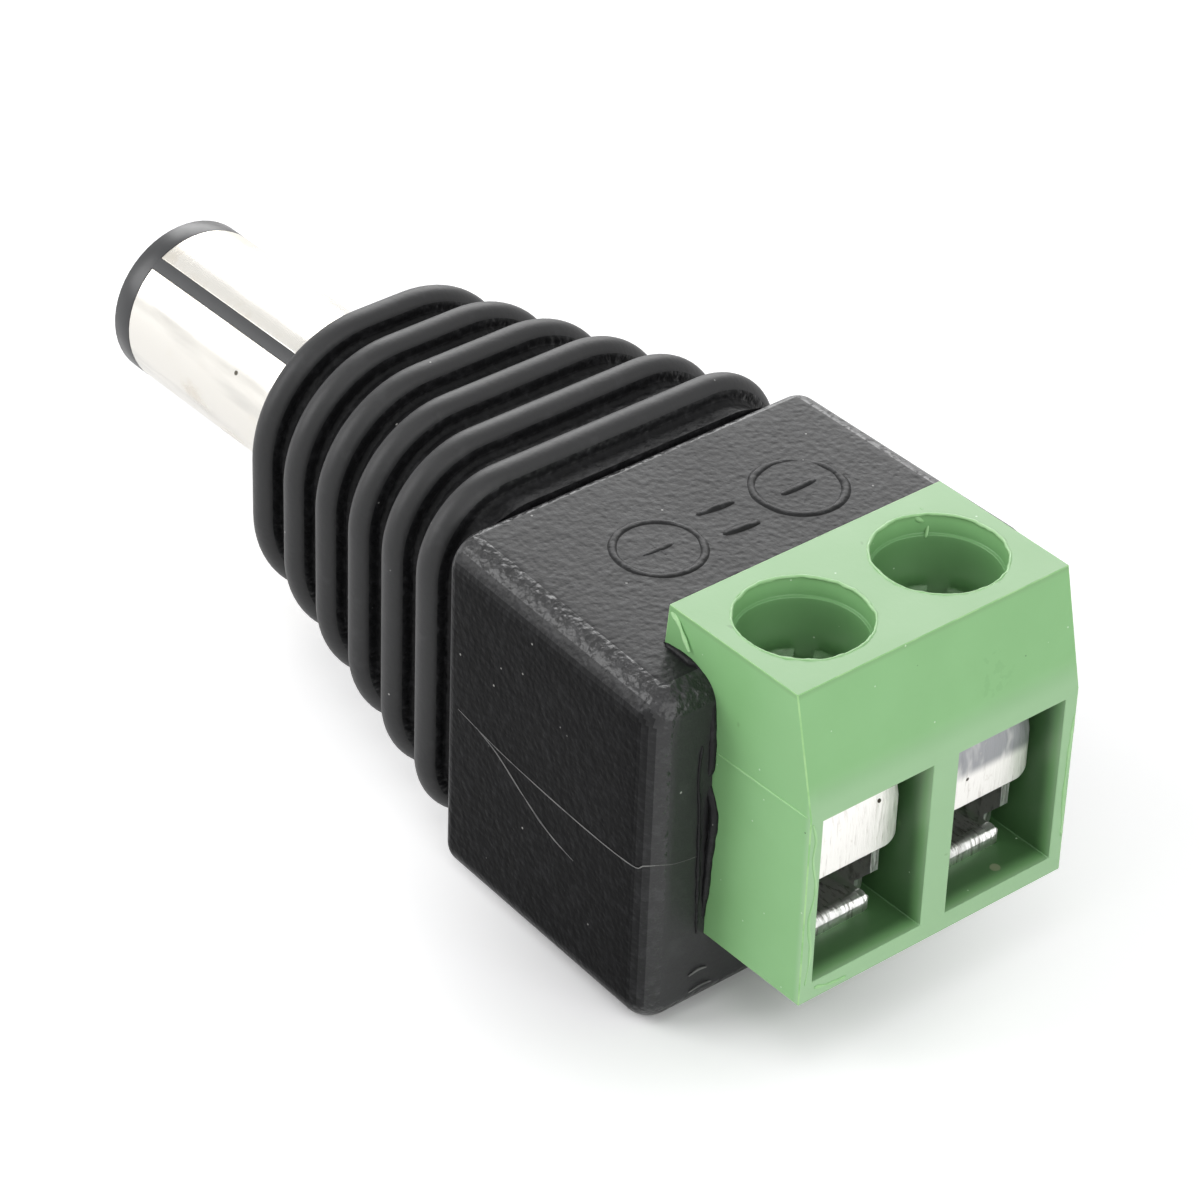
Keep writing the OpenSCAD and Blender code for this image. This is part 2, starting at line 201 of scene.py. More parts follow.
def sweep(data, rings):
    """A closed skin in a bmesh: a ring of points, extruded on to each next ring."""
    place = data.verts.layers.int.get("place") or data.verts.layers.int.new("place")
    ring = bmesh.ops.create_circle(data, cap_ends=False, segments=len(rings[0]), radius=1)["verts"]
    for i, vert in enumerate(ring):
        vert[place] = i
        vert.co = rings[0][i]
    known = set(ring)
    start = [e for e in data.edges if e.verts[0] in known and e.verts[1] in known]
    edges = start
    for outline in rings[1:]:
        grown = bmesh.ops.extrude_edge_only(data, edges=edges)["geom"]
        fresh = {v for v in grown if isinstance(v, bmesh.types.BMVert)}
        for vert in fresh:
            vert.co = outline[vert[place]]
        edges = [
            e for e in grown
            if isinstance(e, bmesh.types.BMEdge) and e.verts[0] in fresh and e.verts[1] in fresh
        ]
    bmesh.ops.edgeloop_fill(data, edges=start)
    bmesh.ops.edgeloop_fill(data, edges=edges)


# %% [markdown]
# Moulded and sheared parts carry thin beads: raised signs, seams where the mould
# closes, and flash that leaked out of it. A bead is a small ring of points swept
# along a smooth path, and it thins out at both ends. Every bead is kept inside the
# box of the CAD model, so the part stays at its true size.

# %% Helpers for thin beads
def smooth_path(points, steps):
    """A smooth path through a few points."""
    path = []
    for i in range(len(points) - 1):
        before = points[max(i - 1, 0)]
        start = points[i]
        end = points[i + 1]
        after = points[min(i + 2, len(points) - 1)]
        for j in range(steps):
            t = j / steps
            straight = (end - before) * t
            curve = (2 * before - 5 * start + 4 * end - after) * t ** 2
            twist = (3 * start - before - 3 * end + after) * t ** 3
            path.append(start + 0.5 * (straight + curve + twist))
    path.append(points[-1])
    return path


def add_bead(data, points, radius, wobble=0.0, sides=8, steps=8):
    """Adds a round bead through points in millimetres, thin at both ends."""
    path = smooth_path([Vector(p) * MM for p in points], steps)
    rings = []
    for i, place in enumerate(path):
        ahead = path[min(i + 1, len(path) - 1)] - path[max(i - 1, 0)]
        turn = ahead.to_track_quat("Z", "Y")
        share = i / (len(path) - 1)
        taper = max(math.sin(math.pi * share), 0.02) ** 0.25
        size = radius * MM * taper * (1 + wobble * noise.noise(place * 2500))
        ring = []
        for j in range(sides):
            angle = 2 * math.pi * j / sides
            ring.append(place + turn @ Vector((math.cos(angle) * size, math.sin(angle) * size, 0)))
        rings.append(ring)
    sweep(data, rings)


def add_ring(data, centre, radius, bead, steps=96):
    """Adds a round bead that closes on itself: a circle spun about the Z axis."""
    middle = Vector(centre) * MM
    stand = Matrix.Rotation(math.pi / 2, 4, "X")
    place = Matrix.Translation(middle + Vector((radius * MM, 0, 0)))
    profile = bmesh.ops.create_circle(
        data, cap_ends=False, segments=8, radius=bead * MM, matrix=place @ stand
    )["verts"]
    known = set(profile)
    edges = [e for e in data.edges if e.verts[0] in known and e.verts[1] in known]
    bmesh.ops.spin(
        data, geom=profile + edges, cent=middle, axis=(0, 0, 1), angle=2 * math.pi,
        steps=steps, use_merge=True,
    )


def finish_beads(name, data, material):
    """Makes a smooth piece of a bmesh of beads, kept inside the CAD's box."""
    low, high = Vector(cad_bounds[0]), Vector(cad_bounds[1])
    for vert in data.verts:
        for axis in range(3):
            vert.co[axis] = min(max(vert.co[axis], low[axis]), high[axis])
    bmesh.ops.recalc_face_normals(data, faces=data.faces)
    piece = finish_piece(name, data, material)
    piece.data.shade_smooth()


def wobbled(data, amount, scale):
    """Shakes the points of a bmesh by a smooth noise, in millimetres."""
    for vert in data.verts:
        vert.co += noise.noise_vector(vert.co * scale) * amount * MM


print("bead helpers ready")


# %% [markdown]
# ## Helpers for materials
#
# Each finish is a Principled shader with a few noise layers. The layers read
# Object coordinates, so the pattern sits still on the piece from every side.

# %% Helpers that wire a material
class Finish:
    """A Principled material that is built up layer by layer."""

    def __init__(self, name, color, roughness, metallic=0.0, specular=0.5):
        self.material = bpy.data.materials.new(name)
        self.material.use_nodes = True
        self.tree = self.material.node_tree
        self.shader = self.tree.nodes["Principled BSDF"]
        self.shader.inputs["Base Color"].default_value = (*color, 1)
        self.shader.inputs["Roughness"].default_value = roughness
        self.shader.inputs["Metallic"].default_value = metallic
        self.shader.inputs["IOR"].default_value = 1.5
        self.shader.inputs["Specular IOR Level"].default_value = specular
        self.place = self.tree.nodes.new("ShaderNodeTexCoord").outputs["Object"]
        self.color = None
        self.normal = None

    def link(self, a, b):
        """Wires an output to an input."""
        self.tree.links.new(a, b)

    def stretched(self, scale):
        """Object coordinates, scaled along X, Y and Z."""
        mapping = self.tree.nodes.new("ShaderNodeMapping")
        mapping.inputs["Scale"].default_value = scale
        self.link(self.place, mapping.inputs["Vector"])
        return mapping.outputs["Vector"]

    def noise(self, scale, detail=4.0, rough=0.55, where=None):
        """A cloudy value between 0 and 1."""
        node = self.tree.nodes.new("ShaderNodeTexNoise")
        node.inputs["Scale"].default_value = scale
        node.inputs["Detail"].default_value = detail
        node.inputs["Roughness"].default_value = rough
        self.link(where or self.place, node.inputs["Vector"])
        return node.outputs["Fac"]

    def cells(self, scale, feature="SMOOTH_F1"):
        """A pebbled value: the distance to the nearest of many scattered points."""
        node = self.tree.nodes.new("ShaderNodeTexVoronoi")
        node.feature = feature
        node.inputs["Scale"].default_value = scale
        self.link(self.place, node.inputs["Vector"])
        return node.outputs["Distance"]

    def ramp(self, value, low, high):
        """Cuts a value down to a mask that rises from 0 at low to 1 at high."""
        node = self.tree.nodes.new("ShaderNodeMapRange")
        node.interpolation_type = "SMOOTHSTEP"
        node.inputs["From Min"].default_value = low
        node.inputs["From Max"].default_value = high
        self.link(value, node.inputs["Value"])
        return node.outputs["Result"]

    def combine(self, a, b, how="MULTIPLY"):
        """Two values joined by an operation."""
        node = self.tree.nodes.new("ShaderNodeMath")
        node.operation = how
        self.link(a, node.inputs[0])
        if hasattr(b, "links"):
            self.link(b, node.inputs[1])
        else:
            node.inputs[1].default_value = b
        return node.outputs["Value"]

    def away(self, centre, where=None):
        """The distance to a point given in millimetres."""
        node = self.tree.nodes.new("ShaderNodeVectorMath")
        node.operation = "DISTANCE"
        node.inputs[1].default_value = [c * MM for c in centre]
        self.link(where or self.place, node.inputs[0])
        return node.outputs["Value"]

    def along(self, axis):
        """The place along X, Y or Z."""
        node = self.tree.nodes.new("ShaderNodeSeparateXYZ")
        self.link(self.place, node.inputs["Vector"])
        return node.outputs[axis]

    def spot(self, centre, radius):
        """A round mask about a point, with a ragged rim."""
        ragged = self.combine(self.noise(6000, detail=2), 0.5 * radius * MM)
        far = self.combine(self.away(centre), ragged, "ADD")
        return self.ramp(far, 1.55 * radius * MM, 1.25 * radius * MM)

    def dots(self, scale, size):
        """A few small dots, one to a cell, where a scattered point lies on the surface."""
        return self.ramp(self.cells(scale, feature="F1"), size, size * 0.6)

    def tint(self, mask, color):
        """Paints a colour over the base where the mask is 1."""
        node = self.tree.nodes.new("ShaderNodeMix")
        node.data_type = "RGBA"
        base = self.shader.inputs["Base Color"]
        if self.color:
            self.link(self.color, node.inputs["A"])
        else:
            node.inputs["A"].default_value = base.default_value
        node.inputs["B"].default_value = (*color, 1)
        self.link(mask, node.inputs["Factor"])
        self.color = node.outputs["Result"]
        self.link(self.color, base)

    def gloss(self, value, low, high):
        """Spreads the roughness from low to high by a value."""
        node = self.tree.nodes.new("ShaderNodeMapRange")
        node.inputs["To Min"].default_value = low
        node.inputs["To Max"].default_value = high
        self.link(value, node.inputs["Value"])
        self.link(node.outputs["Result"], self.shader.inputs["Roughness"])

    def bump(self, height, depth, strength=1.0):
        """Raises the surface by a value, up to a depth in metres."""
        node = self.tree.nodes.new("ShaderNodeBump")
        node.inputs["Strength"].default_value = strength
        node.inputs["Distance"].default_value = depth
        self.link(height, node.inputs["Height"])
        if self.normal:
            self.link(self.normal, node.inputs["Normal"])
        self.normal = node.outputs["Normal"]
        self.link(self.normal, self.shader.inputs["Normal"])


print("material helper ready")

# %% [markdown]
# ## Black PVC
#
# The body is moulded in soft PVC. The box has a pebbled grain, which comes from a
# spark-eroded mould, and the ribs are smoother. The pebbles could be modelled, but
# at a fifth of a millimetre a Voronoi bump shows them as well. PVC with much soot
# in it is darker than paint. The flat sides get a darker, duller copy of the finish
# as painted shade. The rounded edges get lighter, glossier copies, up to a painted
# highlight, so a few lit and shaded copies lead from the side round to the edge.

# %% Finish of the black body
def pvc_finish(name, color, shine, specular):
    """Black PVC, with the clouds and the dust that it gathers."""
    made = Finish(name, color, shine, specular=specular)
    wide = made.noise(260, detail=5)
    made.gloss(wide, shine - 0.05, shine + 0.07)
    made.bump(wide, 0.06 * MM, 0.5)
    made.bump(made.noise(6500, detail=3), 0.004 * MM, 0.6)
    made.tint(made.ramp(made.noise(1100, detail=3), 0.56, 0.74), [1.4 * c for c in color])
    made.tint(made.dots(1100, 0.05), (0.30, 0.30, 0.29))
    made.tint(made.dots(450, 0.03), (0.45, 0.45, 0.43))
    return made


def grained(name, specular, shine=0.42, relief=1.0, tone_and_shade=0.0092):
    """PVC with the pebbles of a spark-eroded mould."""
    color = (tone_and_shade, 1.01 * tone_and_shade, 1.08 * tone_and_shade)
    made = pvc_finish(name, color, shine, specular)
    grain = made.noise(2900, detail=3, rough=0.6)
    made.tint(made.ramp(grain, 0.50, 0.66), [2.0 * c for c in color])
    made.bump(grain, 0.030 * relief * MM, 0.9)
    made.bump(made.cells(5200), 0.022 * relief * MM, 0.9)
    return made.material


smooth_pvc = pvc_finish("black_pvc_smooth", (0.0200, 0.0201, 0.0210), 0.48, 0.38)
smooth_pvc.bump(smooth_pvc.noise(5200, detail=3), 0.012 * MM, 0.8)
black_smooth = smooth_pvc.material
black_pvc = grained("black_pvc_grained", 0.175)
# Lit and shaded copies: painted shade on the flat sides, then ever lighter and glossier, up to a
# painted highlight on the edges.
black_shaded_side = grained("black_pvc_painted_shade", 0.035, tone_and_shade=0.0048)
black_bend = grained("black_pvc_bend_1", 0.06, relief=1.2, tone_and_shade=0.0056)
black_turn = grained("black_pvc_bend_2", 0.12, relief=1.4, tone_and_shade=0.0070)
black_edge = grained("black_pvc_bend_3", 0.24, shine=0.37, relief=1.7, tone_and_shade=0.0090)
black_lit_ridge = grained("black_pvc_painted_highlight", 0.48, shine=0.31, relief=2.3, tone_and_shade=0.0105)

scuffed = Finish("scuffed_pvc", (0.16, 0.16, 0.156), 0.5, specular=0.3)
scuffed.gloss(scuffed.noise(3000), 0.4, 0.6)
scuffed.tint(scuffed.ramp(scuffed.noise(1400, detail=3), 0.45, 0.65), (0.09, 0.09, 0.09))
scuffed_pvc = scuffed.material
print("black PVC ready")

# %% [markdown]
# ## Green plastic
#
# The housing is a stiff green plastic with a satin skin. Its sharp edges are paler,
# so they get a finish of their own, which the bevel hands out. Faint clouds, pale dust
# and a few dark specks keep the flat faces from looking painted. Masks made from X, Y
# and Z tell the faces apart: the front is painted paler as a painted sheen, the top a
# little darker as painted shade, and the chambers and the screw shafts darker as
# painted shade in the hollows.

# %% Finish of the green housing
def green_finish(name, color, cloud_color):
    """The satin green plastic in one shade."""
    made = Finish(name, color, 0.4, specular=0.5)
    clouds = made.noise(420, detail=6)
    made.gloss(clouds, 0.34, 0.46)
    made.tint(made.ramp(clouds, 0.35, 0.72), cloud_color)
    made.bump(clouds, 0.05 * MM, 0.35)
    made.bump(made.noise(3800, detail=3), 0.005 * MM, 0.5)
    return made


green = green_finish("green_plastic", (0.222, 0.462, 0.190), (0.236, 0.482, 0.204))
chamber_side = 4.7 * MM
chamber_roof = 9.6 * MM
chamber_floor = 2.0 * MM
shaft_wall = 2.1 * MM
green_x = green.along("X")
green_z = green.along("Z")
# Painted sheen: the front face is painted paler.
front_painted_sheen = green.ramp(green_x, housing_face + 0.3 * MM, housing_face + 0.05 * MM)
green.tint(green.combine(front_painted_sheen, 0.35), (0.44, 0.58, 0.42))
deep = green.ramp(green_x, housing_face + 0.05 * MM, housing_face + 0.7 * MM)
aside = green.combine(green.along("Y"), 0.0, "ABSOLUTE")
within = green.combine(green.ramp(aside, chamber_side + 0.15 * MM, chamber_side), deep)
under = green.ramp(green_z, chamber_roof + 0.6 * MM, chamber_roof)
above = green.ramp(green_z, chamber_floor - 1.0 * MM, chamber_floor)
# Painted shade: the inside of the chambers is painted dark.
chamber = green.combine(green.combine(within, under), above)
green.tint(green.combine(chamber, 0.9), (0.04, 0.105, 0.035))
# Painted shade: the top face is painted a little darker.
top_painted_shade = green.ramp(green_z, housing_top - 0.25 * MM, housing_top - 0.1 * MM)
green.tint(green.combine(top_painted_shade, 0.9), (0.206, 0.408, 0.171))
flat_place = green.stretched((1, 1, 0))
low_down = green.ramp(green_z, housing_top - 0.1 * MM, housing_top - 1.0 * MM)
# Painted shade: the walls of the screw shafts are painted darker below the top.
for side in (1, -1):
    from_shaft = green.away((screw_x / MM, side * pole_y / MM, 0), where=flat_place)
    shaft_painted_shade = green.combine(green.ramp(from_shaft, shaft_wall + 0.15 * MM, shaft_wall), low_down)
    green.tint(green.combine(shaft_painted_shade, 0.55), (0.08, 0.20, 0.07))
specks = green.ramp(green.noise(1500, detail=1), 0.79, 0.83)
green.tint(green.combine(specks, 0.5), (0.11, 0.22, 0.08))
green.tint(green.dots(900, 0.035), (0.05, 0.09, 0.035))
green.tint(green.dots(1400, 0.05), (0.50, 0.66, 0.46))
rubbed_patch = green.spot((-17.63, -1.98, 10.86), 0.62)
rubbed_lines = green.ramp(green.noise(3400, detail=2), 0.50, 0.58)
green.tint(green.combine(green.combine(rubbed_patch, rubbed_lines), 0.15), (0.13, 0.30, 0.11))
green.tint(green.spot((-17.55, -3.06, 3.35), 0.14), (0.20, 0.25, 0.14))
green_plastic = green.material

pale_edges = green_finish("green_pale_edge_finish", (0.250, 0.520, 0.195), (0.270, 0.545, 0.215))
pale_edges.tint(pale_edges.ramp(pale_edges.noise(1500, detail=4), 0.40, 0.62), (0.36, 0.62, 0.27))
green_pale_edge = pale_edges.material

flash = green_finish("green_flash", (0.30, 0.56, 0.25), (0.38, 0.63, 0.32))
green_flash = flash.material
print("green plastic ready")

# %% [markdown]
# ## Plated metals
#
# The barrel is smooth nickel plate with a warm cast. The clamps and the guards
# are plated sheet, rubbed upright where wires and pliers have scraped them. The
# minus guard's flap has a grey band painted across it, a painted reflection of the
# dark surroundings.

# %% Finishes of the metals
nickel = Finish("sleeve_nickel", (0.73, 0.71, 0.665), 0.24, metallic=1.0)
haze = nickel.noise(500, detail=5)
nickel.gloss(haze, 0.18, 0.34)
nickel.tint(nickel.ramp(haze, 0.48, 0.66), (0.65, 0.61, 0.54))
rubs = nickel.noise(1.0, detail=4, where=nickel.stretched((350, 2600, 2600)))
nickel.bump(rubs, 0.006 * MM, 0.5)
streaks = nickel.noise(1.0, detail=3, where=nickel.stretched((120, 900, 900)))
nickel.tint(nickel.ramp(streaks, 0.52, 0.70), (0.60, 0.585, 0.55))
nickel.tint(nickel.spot((11.91, 2.47, 7.36), 0.07), (0.12, 0.11, 0.09))
sleeve_nickel = nickel.material

guard = Finish("guard_nickel", (0.92, 0.90, 0.87), 0.34, metallic=1.0)
rubbed = guard.noise(1.0, detail=6, rough=0.65, where=guard.stretched((3000, 9000, 1100)))
bands = guard.noise(1.0, detail=3, where=guard.stretched((800, 1300, 500)))
guard_z = guard.along("Z")
on_minus = guard.ramp(guard.along("Y"), 0.1 * MM, -0.1 * MM)
band_low = guard.ramp(guard_z, 6.9 * MM, 7.3 * MM)
band_high = guard.ramp(guard_z, 8.35 * MM, 8.05 * MM)
upper_flap = guard.combine(band_low, band_high)
# Painted reflection: a grey band across the minus flap stands for the dark surroundings that it
# mirrors.
painted_reflection_band = guard.combine(guard.combine(on_minus, upper_flap), guard.ramp(bands, 0.2, 0.5))
guard.gloss(rubbed, 0.24, 0.5)
guard.tint(guard.ramp(rubbed, 0.52, 0.72), (0.70, 0.67, 0.64))
guard.tint(guard.combine(painted_reflection_band, 0.88), (0.25, 0.26, 0.28))
guard.tint(guard.ramp(guard.noise(2100, detail=4), 0.64, 0.80), (0.62, 0.57, 0.52))
guard.tint(guard.spot((-17.26, 1.58, 7.77), 0.06), (0.06, 0.05, 0.04))
guard.tint(guard.spot((-17.26, -1.85, 6.94), 0.05), (0.08, 0.07, 0.06))
guard.bump(rubbed, 0.02 * MM, 0.6)
guard_nickel = guard.material

tin = Finish("clamp_tin", (0.78, 0.78, 0.765), 0.32, metallic=1.0)
tin_marks = tin.noise(1.0, detail=4, where=tin.stretched((2500, 8500, 1500)))
tin.gloss(tin_marks, 0.26, 0.48)
tin.tint(tin.ramp(tin_marks, 0.5, 0.66), (0.42, 0.415, 0.40))
tin.bump(tin_marks, 0.05 * MM, 0.8)
clamp_tin = tin.material

steel = Finish("screw_steel", (0.80, 0.80, 0.79), 0.22, metallic=1.0)
steel_marks = steel.noise(2400, detail=4)
steel.gloss(steel_marks, 0.10, 0.26)
steel.tint(steel.ramp(steel_marks, 0.5, 0.7), (0.62, 0.62, 0.61))
steel.bump(steel_marks, 0.06 * MM, 0.9)
screw_steel = steel.material

brass = Finish("lug_brass", (0.80, 0.66, 0.36), 0.3, metallic=1.0)
brass_marks = brass.noise(1500, detail=4)
brass.gloss(brass_marks, 0.2, 0.4)
brass.bump(brass_marks, 0.008 * MM, 0.5)
lug_brass = brass.material

contact = Finish("contact_plate", (0.80, 0.74, 0.60), 0.25, metallic=1.0)
contact_marks = contact.noise(1800, detail=4)
contact.gloss(contact_marks, 0.16, 0.36)
contact.bump(contact_marks, 0.008 * MM, 0.4)
contact_plate = contact.material
print("metals ready")

# %% [markdown]
# ## Black insulator
#
# A harder, smoother black plastic fills the sleeve, its slit and the ring at the
# tip. It is a little greyer than the PVC.

# %% Finish of the insulator
ring_black = Finish("insulator_black", (0.030, 0.031, 0.033), 0.35)
ring_grain = ring_black.noise(1800, detail=4)
ring_black.gloss(ring_grain, 0.28, 0.44)
ring_black.bump(ring_grain, 0.012 * MM, 0.5)
insulator_black = ring_black.material
print("insulator ready")

# %% [markdown]
# ## The moulded body
#
# The real body is one piece of PVC, shot round the housing and the barrel. It
# could be stacked from beads and a box, but a mould leaves one skin, so it is
# lofted: a ring of points is shaped to the first section, and extruded again and
# again, each time on to the next section along the plug.

# %% Sections of the body
def mix(a, b, share):
    """A value between a and b, at a share of the way."""
    return a + (b - a) * share


def box_section(x, inset):
    """A section of the box: station, half width, bottom, top, two radii and bulge."""
    share = (x - body_rear) / box_length
    half = mix(box_width_rear, box_width_front, share) / 2 - inset
    top = mix(box_height_rear, box_height_front, share) - inset
    least = 0.06 * MM
    upper = max(box_top_radius - inset, least)
    lower = max(box_bottom_radius - inset, least)
    return (x, half, inset, top, upper, lower, minus_side_extra * max(share - 0.1, 0))


def rib_section(x, share, inset):
    """A section through a rib or a groove, where share runs from 0 to 1."""
    half = mix(rib_width_large, rib_width_small, share) / 2 - inset
    bulge = rib_bulge * 4 * share * (1 - share)
    rise = (mix(rib_height_large, rib_height_small, share) + bulge) / 2 - inset
    corner = rib_corner_small - (rib_corner_small - rib_corner_large) * (1 - share) ** 2
    round_to = corner - inset
    return (x, half, axis_z - rise, axis_z + rise, round_to, round_to, minus_side_extra)


def groove_corner(wall, share, way):
    """Sections round the hollow corner between a groove's wall and its floor."""
    made = []
    for i in range(fillet_steps + 1):
        turn = math.pi / 2 * i / fillet_steps
        x = wall + way * fillet * (1 - math.cos(turn))
        made.append(rib_section(x, share, groove_depth - fillet * (1 - math.sin(turn))))
    return made[::way]


edge_steps = 12
bead_steps = 16
flat_steps = 10
fillet_steps = 4
fillet = 0.2 * MM
body_sections = []
for i in range(edge_steps + 1):
    turn = math.pi / 2 * i / edge_steps
    x = body_rear + box_rear_radius * (1 - math.cos(turn))
    body_sections.append(box_section(x, box_rear_radius * (1 - math.sin(turn))))
for i in range(1, flat_steps):
    x = mix(body_rear + box_rear_radius, box_end - box_front_radius, i / flat_steps)
    body_sections.append(box_section(x, 0))
for i in range(edge_steps + 1):
    turn = math.pi / 2 * i / edge_steps
    x = box_end - box_front_radius * (1 - math.sin(turn))
    body_sections.append(box_section(x, box_front_radius * (1 - math.cos(turn))))
for rib in range(rib_count):
    share = rib / (rib_count - 1)
    crest = first_crest + rib * rib_pitch
    before = max((rib - 0.5) / (rib_count - 1), 0)
    groove_start = box_end if rib == 0 else crest - rib_pitch + bead_radius
    body_sections += groove_corner(groove_start, before, 1)
    body_sections += groove_corner(crest - bead_radius, share, -1)
    for i in range(bead_steps + 1):
        turn = math.pi * i / bead_steps
        x = crest - bead_radius * math.cos(turn)
        body_sections.append(rib_section(x, share, bead_radius * (1 - math.sin(turn))))
print("sections of the body:", len(body_sections))

# %% Loft the body
corner_points = 20
side_points = 12


def section_outline(section):
    """Points round a section, starting at its upper right corner."""
    x, half, bottom, top, upper, lower, extra = section
    points = []
    for corner in range(4):
        radius = upper if corner < 2 else lower
        across = half - radius if corner in (0, 3) else radius - half - extra
        centre = Vector((x, across, top - radius if corner < 2 else bottom + radius))
        for i in range(corner_points):
            turn = math.pi / 2 * (corner + i / (corner_points - 1))
            points.append(centre + radius * Vector((0, math.cos(turn), math.sin(turn))))
    outline = []
    for i, point in enumerate(points):
        outline.append(point)
        if i % corner_points == corner_points - 1:
            following = points[(i + 1) % len(points)]
            for j in range(1, side_points):
                outline.append(point.lerp(following, j / side_points))
    return outline


body_skin = bmesh.new()
sweep(body_skin, [section_outline(section) for section in body_sections])
bmesh.ops.recalc_face_normals(body_skin, faces=body_skin.faces)
print("body skin:", len(body_skin.faces), "faces")

# %% [markdown]
# The body holds the housing and the barrel, so both are cut out of it. A Boolean
# modifier takes a cutter away from the skin. The cutters are the housing's own
# outline and a round bar, and they are deleted once the cut is made.

# %% Cut the seats of the housing and the barrel
def cutter(data):
    """An object of a bmesh, for a Boolean modifier to cut with."""
    mesh = bpy.data.meshes.new("cutter")
    data.to_mesh(mesh)
    data.free()
    tool = bpy.data.objects.new("cutter", mesh)
    bpy.context.scene.collection.objects.link(tool)
    return tool


def cut(piece, tools):
    """Takes each tool away from a piece, then deletes the tool."""
    for tool in tools:
        boolean = piece.modifiers.new("cut", "BOOLEAN")
        boolean.operation = "DIFFERENCE"
        boolean.solver = "EXACT"
        boolean.object = tool
        bpy.context.view_layer.update()
        apply_modifiers(piece)
        bpy.data.objects.remove(tool)


def round_bar(start, end, radius):
    """A round bar on the barrel's axis."""
    data = bmesh.new()
    turn = Matrix.Rotation(math.pi / 2, 4, "Y")
    centre = Matrix.Translation(((start + end) / 2, 0, axis_z))
    bmesh.ops.create_cone(
        data, cap_ends=True, segments=96, radius1=radius, radius2=radius,
        depth=end - start, matrix=centre @ turn,
    )
    return data


housing_seat = bmesh.new()
bmesh.ops.create_cube(housing_seat, size=1)
rear_lean = 0.98 * MM
for vert in housing_seat.verts:
    back = vert.co.x > 0
    high = vert.co.z > 0
    rear = house_high.x - (rear_lean if high else 0)
    vert.co.x = rear if back else housing_face
    vert.co.y = house_high.y if vert.co.y > 0 else house_low.y
    vert.co.z = housing_top if high else house_low.z

bore_depth = 1.6 * MM
moulded_body = finish_piece("body_skin", body_skin, black_pvc)
cut(moulded_body, [
    cutter(housing_seat),
    cutter(round_bar(body_front - bore_depth, body_front + 1 * MM, barrel_r)),
])
smooth(moulded_body, 40)
print("seats cut")

# %% [markdown]
# Each face of the body now gets one of the black finishes. On the box it depends on
# how far a face has turned away from the side: the flat sides get the painted shade,
# the rounded edges ever lighter copies up to the painted highlight, and the flat top
# keeps the plain grain. On the ribs the beads are smooth, and the grooves get darker
# copies as painted shade in the hollows. The rear face takes the lighter smooth finish
# as a painted highlight.

# %% Give the faces of the body their finishes
ribs_start = box_end + 0.01 * MM
rear_face_end = body_rear + 0.03 * MM
turned_finishes = ((0.97, black_bend), (0.90, black_turn), (0.75, black_edge))


def black_finish(face):
    """The finish that a face of the body gets."""
    along = face.center.x
    crest = first_crest + rib_pitch * round((along - first_crest) / rib_pitch)
    from_crest = abs(along - crest) / bead_radius
    facing_side = abs(face.normal.y)
    if along > ribs_start:
        if from_crest < 0.95:
            return black_smooth
        # Faces in the grooves get darker copies, as painted shade in the hollows.
        return black_edge if from_crest < 1.05 else black_turn
    # The rear face gets the lighter, glossier smooth finish, as a painted highlight.
    if along < rear_face_end:
        return black_smooth
    if facing_side > 0.995:
        return black_shaded_side
    if abs(face.normal.z) >= 0.99:
        return black_pvc
    for least, finish in turned_finishes:
        if facing_side >= least:
            return finish
    return black_lit_ridge


black_finishes = [black_pvc, black_smooth, black_shaded_side, black_bend, black_turn]
black_finishes += [black_edge, black_lit_ridge]
for finish in black_finishes[1:]:
    moulded_body.data.materials.append(finish)
for face in moulded_body.data.polygons:
    face.material_index = black_finishes.index(black_finish(face))
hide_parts("moulded_body")
print("body:", len(moulded_body.data.polygons), "faces")

# %% [markdown]
# ## Polarity signs
#
# Raised signs on top of the box tell which screw takes which wire. Each pole has a
# ring with a bar, and a fainter bar crosses the plus. Two dashes lie between them.
# They are low round ridges, so they are beads sunk nearly to their crowns, and they
# are worn down in places.

# %% Raise the signs
def box_top(x):
    """Height of the box's top face at a station."""
    return mix(box_height_rear, box_height_front, (x - body_rear) / box_length)


signs = bmesh.new()
add_ring(signs, (-8.36, 2.31, -0.155), 1.33, 0.21)
add_ring(signs, (-8.41, -2.98, -0.155), 1.38, 0.215)
add_bead(signs, [(-8.38, 3.02, -0.13), (-8.38, 1.66, -0.13)], 0.19)
add_bead(signs, [(-8.92, 2.34, -0.15), (-7.84, 2.34, -0.15)], 0.18)
add_bead(signs, [(-8.41, -2.24, -0.09), (-8.41, -3.72, -0.09)], 0.18)
add_bead(signs, [(-7.72, 0.44, -0.09), (-7.84, -1.04, -0.09)], 0.18)
add_bead(signs, [(-8.92, 0.44, -0.09), (-9.06, -0.97, -0.09)], 0.18)
worn_place = Vector((-7.55, -3.90, 0)) * MM
for vert in signs.verts:
    worn_down = 0.05 * MM * max(noise.noise(vert.co * 1100), 0)
    near = max(1 - (vert.co - worn_place).length / (0.7 * MM), 0)
    vert.co.z += box_top(vert.co.x) - worn_down - 0.08 * MM * near
finish_beads("polarity_signs", signs, black_pvc)
print("signs raised")

# %% [markdown]
# ## Seams and flash of the black body
#
# The mould closes half way up the box and leaves a fine seam on its plus side. Where
# the black PVC meets the green housing it has crept out as a wavy lip with a fold.
# Both are beads on the surface. The seam, a scratch and two curled threads are
# thinner and paler, so they are scuffed PVC.

